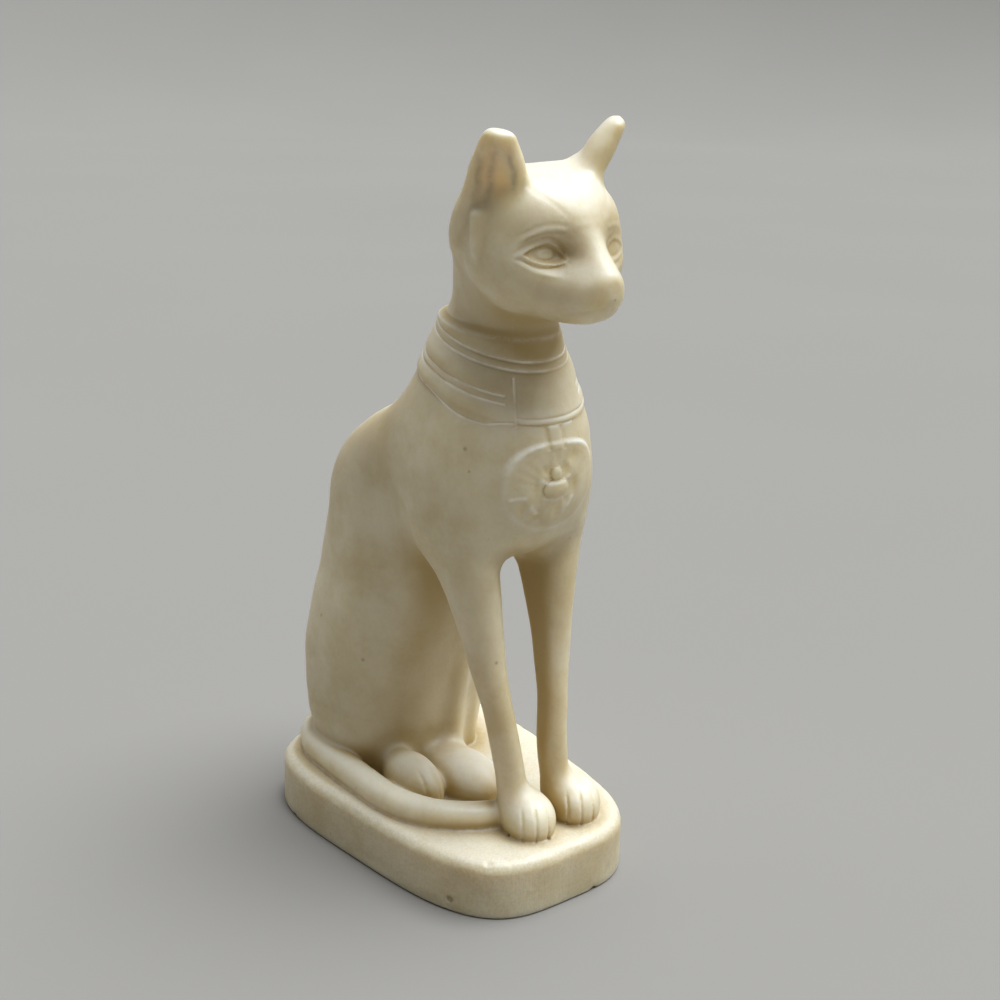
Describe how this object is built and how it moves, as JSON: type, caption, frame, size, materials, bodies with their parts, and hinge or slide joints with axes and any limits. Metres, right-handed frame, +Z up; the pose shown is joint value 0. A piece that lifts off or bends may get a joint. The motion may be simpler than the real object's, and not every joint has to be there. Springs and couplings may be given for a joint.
{
  "type": "seated cat figure",
  "caption": "Seated Bastet cat statuette carved in one piece with its low rounded plinth, with a lined collar and a chest pectoral.",
  "frame": {"origin": "middle of the plinth's flat underside, where it rests", "axes": "+Z up; the cat faces -Y; its right side, with the tail along it, is -X"},
  "size_m": [0.073, 0.1088, 0.2011],
  "materials": {
    "alabaster": "hand-polished translucent cream alabaster, waxy, with white powder left in the incised lines"
  },
  "bodies": {
    "root": {"cat_figure": "alabaster"}
  },
  "joints": []
}
